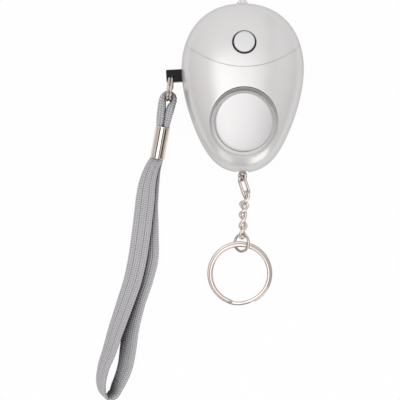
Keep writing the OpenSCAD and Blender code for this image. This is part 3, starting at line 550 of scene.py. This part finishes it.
PATCH_ROWS, PATCH_CROWD, PATCH_EDGE = 40, 2.2, 0.14
FAR, NEVER, TURN_MARGIN, ON_RIM = 80.0, 1e9, 0.05, 1e-6
SLOT_LOW, SLOT_HIGH = (-15, -2.45, -1.65), (6, 2.45, 1.65)
LED_PLAY, LED_SEAT, LED_OUT = 0.1, 1.5, 40
EYE_HALF, EYE_IN, EYE_CLEAR, SHANK_HOLE_R, SHANK_HOLE_L = 2.4, 0.9, 5, 0.8, 4


def rim_hit(centre, d):
    lo, hi = np.zeros(len(d)), np.full(len(d), FAR)
    for _ in range(HALVINGS):
        mid = (lo + hi) / 2
        inside = share(centre + mid[:, None] * d) < 1
        lo, hi = np.where(inside, mid, lo), np.where(inside, hi, mid)
    return lo


def seam_hit(centre, d, radius, far):
    v = centre - np.array([0, SEAM_Y])
    b = d @ v
    under_root = b * b - (v @ v - radius * radius)
    root = np.sqrt(np.maximum(under_root, 0))
    hit = -b + root if far else -b - root
    return np.where((under_root > 0) & (hit > 0), hit, NEVER)


def shell_patch(name, centre, r_in, rise, seam_radius, from_inside, count):
    """Part of the front between a round hole and the rim or the seam, closed with its inner face."""
    def look(turn):
        d = np.stack([np.sin(turn), np.cos(turn)], -1)
        return d, rim_hit(centre, d), seam_hit(centre, d, seam_radius, from_inside)
    lo, hi = TURN_MARGIN, math.pi - TURN_MARGIN
    for _ in range(HALVINGS):
        corner = (lo + hi) / 2
        _, rim, seam = look(np.array([corner]))
        if (seam[0] < rim[0]) != from_inside:
            lo = corner
        else:
            hi = corner
    turn = np.concatenate([np.linspace(-corner, corner, count[0], endpoint=False),
                           np.linspace(corner, 2 * math.pi - corner, count[1], endpoint=False)])
    d, rim, seam = look(turn)
    way = 1 - (1 - np.linspace(0, 1, PATCH_ROWS)) ** PATCH_CROWD
    r = r_in + way[:, None] * (np.minimum(rim, seam) - r_in)
    p = centre + r[..., None] * d
    z = front_z(p, rise)
    z[-1] = np.where(np.abs(r[-1] - rim) < ON_RIM, JOINT_Z, z[-1])
    v = p - CROWN
    inner_p = CROWN + v * (1 - WALL / rim_reach(v))[..., None]
    inner_z = JOINT_Z + (z - JOINT_Z) * (FRONT_RISE - WALL) / rise
    rows, cols = p.shape[:2]
    base = rows * cols
    faces = grid_faces(rows, cols) + grid_faces(rows, cols, start=base)
    for i in (0, rows - 1):
        faces += wall_faces(list(range(i * cols, (i + 1) * cols)), base)
    return add_object(name, np.concatenate([raised(p, z), raised(inner_p, inner_z)]).reshape(-1, 3), faces)


def rot(axis, degrees):
    return Matrix.Rotation(math.radians(degrees), 4, axis)


def pin_frame():
    return Matrix.Translation(Vector(PIN_AT)) @ rot("Z", PIN_TILT)


def pin_slot():
    return box_tool(SLOT_LOW, SLOT_HIGH, pin_frame())


def led_hole():
    return rod_tool((0, LED_BASE + LED_SEAT, JOINT_Z), (0, LED_OUT, JOINT_Z), LED_R + LED_PLAY)


def eye_cuts():
    start = CHAIN_END - EYE_CLEAR
    low, high = (-EYE_HALF, start, JOINT_Z - EYE_HALF), (EYE_HALF, CHAIN_END + EYE_IN, JOINT_Z + EYE_HALF)
    return [box_tool(low, high),
            rod_tool((0, start, JOINT_Z), (0, CHAIN_END + SHANK_HOLE_L, JOINT_Z), SHANK_HOLE_R)]


front = shell_patch("lower_front", SPK, SPK_R, FRONT_RISE, SEAM_R + SEAM_GAP / 2, False,
                    count=(90, 210))
cut(bevel(front, PATCH_EDGE), pin_slot(), *eye_cuts())
finish_piece(front, "housing", "case", SILVER, "front_shell")

cover = shell_patch("upper_front", BUTTON, BUTTON_HOLE_R, COVER_RISE, SEAM_R - SEAM_GAP / 2, True,
                    count=(150, 150))
cut(bevel(cover, PATCH_EDGE), led_hole())
finish_piece(cover, "housing", "case", SILVER, "upper_cover")

# lip of the lower front under the seam
LIP_HALF_W, LIP_DROP, LIP_T = 0.9, 0.16, 0.5
LIP_TURN, LIP_TURN_STEP, LIP_SHARE, LIP_ROWS, LIP_COLS = 1.25, 0.005, 0.97, 7, 160


def lip_at(r, turn):
    return np.stack([r * np.sin(turn), SEAM_Y - r * np.cos(turn)], -1)


lip_r = np.linspace(SEAM_R - LIP_HALF_W, SEAM_R + LIP_HALF_W, LIP_ROWS)
lip_turn = LIP_TURN
while share(lip_at(lip_r[0], lip_turn)) > LIP_SHARE:
    lip_turn -= LIP_TURN_STEP
p = lip_at(lip_r[:, None], np.linspace(-lip_turn, lip_turn, LIP_COLS))
upper = raised(p, front_z(p) - LIP_DROP).reshape(-1, 3)
base = LIP_ROWS * LIP_COLS
index = np.arange(base).reshape(LIP_ROWS, LIP_COLS)
edge = [*index[0], *index[1:, -1], *index[-1, -2::-1], *index[-2:0:-1, 0]]
faces = grid_faces(LIP_ROWS, LIP_COLS, wrap=False) + grid_faces(LIP_ROWS, LIP_COLS, wrap=False, start=base)
faces += wall_faces([int(i) for i in edge], base)
lip = add_object("seam_lip", np.concatenate([upper, upper - [0, 0, LIP_T]]), faces)
finish_piece(lip, "housing", "case", SILVER)

# rear shell: a rounded dish with a flat base
REAR_COLS, REAR_ROWS, REAR_TURN = 288, 44, 0.995 * math.pi / 2
REAR_IN, REAR_IN_Z, REAR_BLEND, REAR_EDGE = 0.935, 0.82, 0.7, 0.18
POCKET_R, POCKET_FROM, POCKET_TO = 2.0, -1, 5.6

fall = np.linspace(0, REAR_TURN, REAR_ROWS)
rim = rim_at(np.linspace(0, 2 * math.pi, REAR_COLS, endpoint=False))
p = CROWN + (np.cos(fall) ** (2 / DOME_P))[:, None, None] * (rim - CROWN)
z = JOINT_Z - BACK_RISE * np.sin(fall) ** (2 / DOME_P)
z = np.maximum(z, 0) + np.clip(REAR_BLEND - np.abs(z), 0, None) ** 2 / (4 * REAR_BLEND)
inner_z = JOINT_Z + (z - JOINT_Z) * REAR_IN_Z
outer, inner = raised(p, z[:, None]), raised(CROWN + (p - CROWN) * REAR_IN, inner_z[:, None])
tips = [[*CROWN, z[-1]], [*CROWN, inner_z[-1]]]
verts = np.concatenate([outer.reshape(-1, 3), inner.reshape(-1, 3), tips])
base = REAR_ROWS * REAR_COLS
faces = grid_faces(REAR_ROWS, REAR_COLS) + grid_faces(REAR_ROWS, REAR_COLS, start=base)
faces += wall_faces(list(range(REAR_COLS)), base)
for tip, end in ((2 * base, base), (2 * base + 1, 2 * base)):
    last = end - REAR_COLS
    faces += [(last + j, last + (j + 1) % REAR_COLS, tip) for j in range(REAR_COLS)]
rear = add_object("rear", verts, faces)
cut(bevel(rear, REAR_EDGE), pin_slot(), led_hole(), *eye_cuts(),
    *[rod_tool((x, y, POCKET_FROM), (x, y, POCKET_TO), POCKET_R) for x, y in SCREWS])
finish_piece(rear, "housing", "case", SILVER, "rear_shell")

# horn ring: a rolled lip, a drafted wall and a floor that is deepest towards the button
HORN_ROLL = ((12.45, 0.12), (12.42, 0.04), (12.36, 0.0), (12.3, 0.03))
HORN_WALL_R, HORN_FLOOR_R, HORN_IN_R, HORN_IN_DROP = 12.28, 10.62, 10.57, 0.1
HORN_DEEP, HORN_LEAN, HORN_ENDS = 1.2, 1.3, 0.4
WALL_DRAFT, FLOOR_RISE = 0.24, 0.35
WALL_PARTS, FLOOR_PARTS = (0.1, 0.3, 0.5, 0.7, 0.88, 0.97), (0.06, 0.35, 0.7, 1.0)
AROUND = angles(ROUND_SIDES)


def spk_z(r, ang):
    return front_z(polar(SPK, r, ang))


def ring_body(name, centre, rows):
    """Ring from rows of (radius, heights round it)."""
    points = [raised(polar(centre, r, AROUND), z) for r, z in rows]
    return add_object(name, np.concatenate(points), grid_faces(len(points), ROUND_SIDES, closed=True))


rim_z = spk_z(SPK_R, AROUND) - HORN_LIP
deep = HORN_DEEP + HORN_LEAN * np.sin(AROUND) + HORN_ENDS * np.sin(AROUND) ** 2
foot_r = HORN_WALL_R - WALL_DRAFT * deep


def floor_z(r):
    return rim_z - deep + FLOOR_RISE * np.cos(AROUND) ** 2 * (foot_r - r)


rows = [(HORN_ROLL[0][0], WELL_FLOOR)] + [(r, rim_z - drop) for r, drop in HORN_ROLL]
rows += [(HORN_WALL_R + k * (foot_r - HORN_WALL_R), rim_z - k * deep) for k in WALL_PARTS]
for k in FLOOR_PARTS:
    r = foot_r + k * (HORN_FLOOR_R - foot_r)
    rows.append((r, floor_z(r)))
rows += [(HORN_IN_R, floor_z(HORN_IN_R) - HORN_IN_DROP), (HORN_IN_R, WELL_FLOOR)]
finish_piece(ring_body("horn", SPK, rows), "housing", "horn", HORN, "horn_ring")


def cap_rows(r, edge, first_r, flat_rows, edge_rows):
    """Rows of (radius, drop) from the middle of a cap over its rounded edge."""
    rows = [(x, 0.0) for x in np.linspace(first_r, r - edge, flat_rows)]
    for b in np.linspace(0, math.pi / 2, edge_rows + 1)[1:]:
        rows.append((r - edge * (1 - math.sin(b)), edge * (1 - math.cos(b))))
    return rows


# round cover
COVER_CURVE, COVER_IN, COVER_EDGE, COVER_SUNK = 0.55, 0.25, 0.45, 1.2

cover_low = float(front_z(SPK - [0, SPK_COVER_R]) - HORN_LIP - HORN_FALL - COVER_SUNK)
edge_z = spk_z(SPK_COVER_R, AROUND)
mid_z, lean_z = edge_z.mean(), 2 * (edge_z * np.sin(AROUND)).mean() / SPK_COVER_R


def cover_z(r, drop, ang):
    """Height of the round cover: the front's own curve, flattened towards a plane; no drop is its foot."""
    if drop is None:
        return np.full(len(ang), cover_low)
    level_z = mid_z + lean_z * r * np.sin(ang)
    return level_z + COVER_CURVE * (spk_z(r, ang) - level_z) - COVER_IN - drop


rows = cap_rows(SPK_COVER_R, COVER_EDGE, first_r=0.25, flat_rows=26, edge_rows=6) + [(SPK_COVER_R, None)]
disc = lathe("round_cover", rows, SPK, cover_z, ROUND_SIDES)
finish_piece(disc, "housing", "round_cover", DISC, "speaker_cover")

# torch button: its flange is given in heights
BUTTON_PROUD, BUTTON_EDGE, BUTTON_TILT, BUTTON_SIDES = 0.8, 0.4, 0.6, 96
BUTTON_FLANGE = ((BUTTON_R, 17.85), (5.1, 17.8), (5.1, 17.05))

top_z = float(front_z(BUTTON, COVER_RISE))
cap_z = top_z + BUTTON_PROUD


def button_z(r, drop, ang):
    """The cap leans with the cover that it stands in, and the flange, with a larger drop, is level."""
    if drop > BUTTON_PROUD:
        return np.full(len(ang), cap_z - drop)
    return cap_z + BUTTON_TILT * (front_z(polar(BUTTON, r, ang), COVER_RISE) - top_z) - drop


rows = cap_rows(BUTTON_R, BUTTON_EDGE, first_r=0.15, flat_rows=10, edge_rows=7)
rows += [(r, cap_z - z) for r, z in BUTTON_FLANGE]
button = lathe("button", rows, BUTTON, button_z, BUTTON_SIDES)
finish_piece(button, "torch_button", "button", CAP, "torch_button")

# painted shade: a dark ring in the gap round the button, where there is only shadow
GAP_SHADE_ROWS = ((4.44, 0.5), (4.44, 1.0), (3.85, 1.0), (3.85, 0.55), (3.93, 0.5))

edge_z = front_z(polar(BUTTON, BUTTON_HOLE_R, AROUND), COVER_RISE)
gap_shade = ring_body("button_gap_shade", BUTTON, [(r, edge_z - drop) for r, drop in GAP_SHADE_ROWS])
finish_piece(gap_shade, "housing", "black_plastic", BLACK)

# light
LED_FLANGE_W, LED_FLANGE_L, LED_ROWS, LED_SIDES = 0.4, 1, 12, 64

rows = [(LED_R + LED_FLANGE_W, LED_BASE), (LED_R + LED_FLANGE_W, LED_BASE + LED_FLANGE_L),
        (LED_R, LED_BASE + LED_FLANGE_L), (LED_R, LED_TIP - LED_R)]
for b in np.linspace(0, math.pi / 2, LED_ROWS + 1)[1:-1]:
    rows.append((LED_R * math.cos(b), LED_TIP - LED_R + LED_R * math.sin(b)))
light = lathe("light", rows, (0, JOINT_Z), lambda r, h, ang: np.full(len(ang), h), LED_SIDES, axis="y")
finish_piece(light, "housing", "lens", LENS, "led_lens")

# pull pin
PIN_LOW, PIN_HIGH, PIN_EDGE = (-6.7, -2.3, -1.5), (1.4, 2.3, 1.5), 0.38
TONGUE_LOW, TONGUE_HIGH, TONGUE_EDGE = (1.2, -1.5, -0.5), (9.6, 1.5, 0.5), 0.2
THROAT_AT, THROAT_HALF, THROAT_TOP = (-4.8, -0.63, 0), (1.12, 0.65), 20

pin = box_tool(PIN_LOW, PIN_HIGH, pin_frame())
pin.name = "pin"
bevel(pin, PIN_EDGE, segments=4)
hole = pin_frame() @ Vector(THROAT_AT)
throat = sweep("tool", np.array([[hole.x, hole.y, 0], [hole.x, hole.y, THROAT_TOP]]),
               np.array([[1.0, 0, 0]] * 2), circle(1, TOOL_SIDES) * THROAT_HALF)
cut(pin, throat)
join(pin, bevel(box_tool(TONGUE_LOW, TONGUE_HIGH, pin_frame()), TONGUE_EDGE))
finish_piece(pin, "pull_pin", "black_plastic", BLACK, "pull_pin")


# rings and chain

CROSS_FROM, CROSS_TO = 318, 356
END_ROWS, END_SIZE = 4, 0.72


def split_line(r, pitch, steps, out=0.0):
    """Two turns of wire that cross over once; out is how far the lower turn stands out past the upper."""
    deg = (CROSS_FROM + 360) * np.arange(steps + 1) / steps
    s = np.clip((deg - CROSS_FROM) / (CROSS_TO - CROSS_FROM), 0, 1)
    ang = np.radians(deg)
    level = s * s * (3 - 2 * s) - 0.5
    return raised(polar(0, r - out * level, ang), pitch * level), raised(polar(0, 1, ang), 0)


def turned(points, matrix, vectors=False):
    out = points @ np.array(matrix.to_3x3()).T
    return out if vectors else out + np.array(matrix.translation)


def tapered(section, count):
    """The section along a wire, a little smaller at its cut ends."""
    k = np.ones(count)
    k[:END_ROWS] = np.linspace(END_SIZE, 1, END_ROWS)
    k[-END_ROWS:] = np.linspace(1, END_SIZE, END_ROWS)
    return section[None] * k[:, None, None]


def split_ring(name, place, section, *shape, **more):
    line, across = split_line(*shape, **more)
    return sweep(name, turned(line, place), turned(across, place, True), tapered(section, len(line)))


def hoop(name, place, r, wire_r, wire_sides):
    line = raised(circle(r, HOOP_SIDES), 0)
    face = np.tile(np.array(place.to_3x3() @ Vector((0, 0, 1))), (HOOP_SIDES, 1))
    return sweep(name, turned(line, place), face, circle(wire_r, wire_sides), closed=True)


# small ring on the pin
RING_R, RING_PITCH, RING_WIRE_R, RING_START, RING_STEPS, RING_SIDES = 4.35, 1.05, 0.5, 23, 180, 18

place = Matrix.Translation(Vector(RING_MID)) @ rot("Z", -RING_LEAN) @ rot("Y", 90) @ rot("Z", RING_START)
ring = split_ring("pin_ring", place, circle(RING_WIRE_R, RING_SIDES), RING_R, RING_PITCH, RING_STEPS)
finish_piece(ring, "strap_ring", "nickel", NICKEL, "strap_ring")

# chain: the links hang on the solids' places, and links 2 to 5 are twisted
EYE_R, EYE_WIRE_R, EYE_ROLL, EYE_OUT = 1.45, 0.61, -40, 1.3
TURN, FALL, ROLL = (20, -14, -6, 0, -4, -6), (30, 26, 13, 9, -3, 0), (34, -48, 44, -46, 44, -40)
LINK_L = (5.7, 2.7, 2.7, 2.7, 2.7)
WIRE_R, OVAL_R = (0.61, 0.55, 0.55, 0.55, 0.55), (1.45, 1.68, 1.68, 1.68, 1.68)
TWIST_NEAR, TWIST_FAR, TWIST_PAST = (34, -48, -30, -46, -40), (34, -118, -136, -132, -136), 0.8
BOW_STEPS, LEG_STEPS = 25, 12
EYE_AT, DOWN, FACING = Vector((0, CHAIN_END - EYE_OUT, JOINT_Z)), Vector((0, -1, 0)), Vector((0, 0, 1))


def tip_matrix(i):
    return rot("Z", TURN[i]) @ rot("X", FALL[i]) @ rot("Y", ROLL[i])


def link_dir(i):
    return tip_matrix(i).to_3x3() @ DOWN


def hook(i):
    """Step from the middle of the far bow of the link before to the middle of this link's near bow."""
    face = (rot("Y", EYE_ROLL) if i == 0 else tip_matrix(i - 1)).to_3x3() @ FACING
    return (link_dir(i) - link_dir(i).dot(face) * face).normalized() * EYE_R


def oval_line(r, length):
    half = np.linspace(0, math.pi, BOW_STEPS)
    leg = np.linspace(0, length, LEG_STEPS)[1:-1]
    return np.concatenate([polar(0, r, half), np.stack([np.full(len(leg), -r), -leg], -1),
                           polar([0, -length], -r, half), np.stack([np.full(len(leg), r), -leg[::-1]], -1)])


points = [EYE_AT + hook(0)]
for i in range(len(LINK_L)):
    points.append(points[i] + LINK_L[i] * link_dir(i) + hook(i + 1))

for i in range(len(LINK_L)):
    x, y = oval_line(OVAL_R[i], LINK_L[i]).T
    run = np.clip((TWIST_PAST - y) / (LINK_L[i] + 2 * TWIST_PAST), 0, 1)
    roll = np.radians(TWIST_NEAR[i] + (TWIST_FAR[i] - TWIST_NEAR[i]) * run * run * (3 - 2 * run))
    face = np.stack([np.sin(roll), 0 * roll, np.cos(roll)], -1)
    oval = np.stack([x * np.cos(roll), y, -x * np.sin(roll)], -1)
    place = Matrix.Translation(points[i]) @ rot("Z", TURN[i]) @ rot("X", FALL[i])
    link = sweep(f"link_{i + 1}", turned(oval, place), turned(face, place, True),
                 circle(WIRE_R[i], WIRE_SIDES), closed=True)
    # links 2 to 5 take the lighter nickel, which is painted light
    finish_piece(link, f"chain_link_{i + 1}", "nickel", LINK_LIT_NICKEL if i else NICKEL, f"chain_link_{i + 1}")

# end ring
END_R, END_WIRE_R, END_IN = 3.3, 0.55, 1.275

end = len(LINK_L)
end_mid = points[end] + (END_R - END_IN) * link_dir(end)
end_ring = hoop("end_hoop", Matrix.Translation(end_mid) @ tip_matrix(end), END_R, END_WIRE_R, WIRE_SIDES)
finish_piece(end_ring, "end_ring", "nickel", NICKEL, "end_ring")

# key ring: it hangs on the end ring and its far side lies on the table
KEY_R, KEY_PITCH, KEY_SPREAD, KEY_STEPS = 11.55, 1.0, 0.6, 320
KEY_HALF_W, KEY_HALF_T, KEY_POWER, KEY_SIDES = 0.75, 0.475, 2.3, 28
KEY_BELOW, KEY_TURN, KEY_START, KEY_REST = 0.5, -3, 300, 0.975

key_hook = end_mid + KEY_BELOW * link_dir(end)
key_fall = math.degrees(math.asin((key_hook.z - KEY_REST) / (2 * KEY_R)))
place = (Matrix.Translation(key_hook) @ rot("Z", KEY_TURN) @ rot("X", key_fall)
         @ Matrix.Translation(KEY_R * DOWN) @ rot("Z", KEY_START))
flat_wire = even_section(KEY_HALF_W, KEY_HALF_T, KEY_POWER, KEY_SIDES)[0]
key = split_ring("key_hoop", place, flat_wire, KEY_R, KEY_PITCH, KEY_STEPS, out=KEY_SPREAD)
finish_piece(key, "key_ring", "nickel", NICKEL, "key_ring")

# chain eye with its shank in the case
SHANK_R, SHANK_SIDES, SHANK_Y, EYE_SIDES = 0.7, 24, (-0.15, 0.3, 2.4), 14

eye = hoop("eye", Matrix.Translation(EYE_AT) @ rot("Y", EYE_ROLL), EYE_R, EYE_WIRE_R, EYE_SIDES)
shank = np.array([[0, CHAIN_END + y, JOINT_Z] for y in SHANK_Y])
join(eye, sweep("tool", shank, np.tile([1.0, 0, 0], (len(shank), 1)), circle(SHANK_R, SHANK_SIDES)))
finish_piece(eye, "housing", "nickel", NICKEL, "chain_eye")

# floor: white where it is seen, but for the share that takes the object's shadow
FLOOR_HALF, FLOOR_Z, FLOOR_GREY, FLOOR_WHITE = 6000, -0.02, 0.8, 0.96

floor_mat = bpy.data.materials.new("white_floor")
floor_mat.use_nodes = True
tree = floor_mat.node_tree
tree.nodes.remove(tree.nodes["Principled BSDF"])
ray = add_node(tree, "LightPath")
seen = ray.outputs["Is Camera Ray"]
for kind in ("Is Glossy Ray", "Is Transmission Ray"):
    either = add_node(tree, "Math", operation="MAXIMUM")
    tree.links.new(seen, either.inputs[0])
    tree.links.new(ray.outputs[kind], either.inputs[1])
    seen = either.outputs[0]
white = add_node(tree, "Math", {1: FLOOR_WHITE}, operation="MULTIPLY")
tree.links.new(seen, white.inputs[0])
paper = add_node(tree, "BsdfDiffuse", {"Color": (FLOOR_GREY, FLOOR_GREY, FLOOR_GREY, 1)})
glow = add_node(tree, "Emission", {"Strength": 1.0})
both = add_node(tree, "MixShader")
tree.links.new(white.outputs[0], both.inputs["Fac"])
tree.links.new(paper.outputs[0], both.inputs[1])
tree.links.new(glow.outputs[0], both.inputs[2])
tree.links.new(both.outputs[0], tree.nodes["Material Output"].inputs["Surface"])
corners = [(FLOOR_HALF * x, FLOOR_HALF * y, FLOOR_Z) for x, y in ((-1, -1), (1, -1), (1, 1), (-1, 1))]
floor = add_object("floor", corners, [(0, 1, 2, 3)])
floor.data.materials.append(floor_mat)

# room: lightest above and towards the light's end, with a darker card on the right
ROOM_COLOUR, ROOM_TOWARD = (0.97, 0.97, 0.98, 1), (0.0, 0.70, 0.72)
ROOM_FROM, ROOM_TO, ROOM_DIM, ROOM_LIGHT = -0.6, 1.0, 0.25, 1.05
CARD = ((0.34, 1.0), (0.40, 0.65), (0.46, 0.65), (0.54, 1.0))

world = bpy.data.worlds.new("studio")
scene.world = world
world.use_nodes = True
tree = world.node_tree
back = tree.nodes["Background"]
back.inputs["Color"].default_value = ROOM_COLOUR
side = add_node(tree, "TexCoord")
toward = add_node(tree, "VectorMath", {1: ROOM_TOWARD}, operation="DOT_PRODUCT")
tree.links.new(side.outputs["Generated"], toward.inputs[0])
level = add_node(tree, "MapRange", {"From Min": ROOM_FROM, "From Max": ROOM_TO,
                                    "To Min": ROOM_DIM, "To Max": ROOM_LIGHT})
tree.links.new(toward.outputs["Value"], level.inputs["Value"])
apart = add_node(tree, "SeparateXYZ")
tree.links.new(side.outputs["Generated"], apart.inputs[0])
card = add_node(tree, "ValToRGB")
for element in card.color_ramp.elements:
    element.color = (1, 1, 1, 1)
for at, grey in CARD:
    card.color_ramp.elements.new(at).color = (grey, grey, grey, 1)
tree.links.new(apart.outputs["X"], card.inputs[0])
strength = add_node(tree, "Math", operation="MULTIPLY")
tree.links.new(level.outputs["Result"], strength.inputs[0])
tree.links.new(card.outputs["Color"], strength.inputs[1])
tree.links.new(strength.outputs[0], back.inputs["Strength"])

# lamps: place, aim, size and watts
LAMPS = {
    "overhead_left": ((-220, -100, 750), (-220, -100, 0), (240, 720), 0.77),
    "overhead_mid": ((-10, -100, 750), (-10, -100, 0), (180, 720), 0.46),
    "overhead_right": ((150, -100, 750), (150, -100, 0), (140, 720), 0.16),
    "front_left": ((-270, -500, 210), (0, -20, 0), (300, 240), 0.24),
    "front_right": ((290, -500, 210), (0, -20, 0), (360, 240), 0.55),
}
for name, (at, aim, size, watts) in LAMPS.items():
    lamp = bpy.data.lights.new(name, "AREA")
    lamp.shape = "RECTANGLE"
    lamp.size, lamp.size_y = size[0] * MM, size[1] * MM
    lamp.energy = watts
    obj = bpy.data.objects.new(name, lamp)
    scene.collection.objects.link(obj)
    obj.location = Vector(at) * MM
    obj.rotation_euler = (Vector(aim) - Vector(at)).to_track_quat("-Z", "Y").to_euler()

scene.view_settings.view_transform = "Standard"
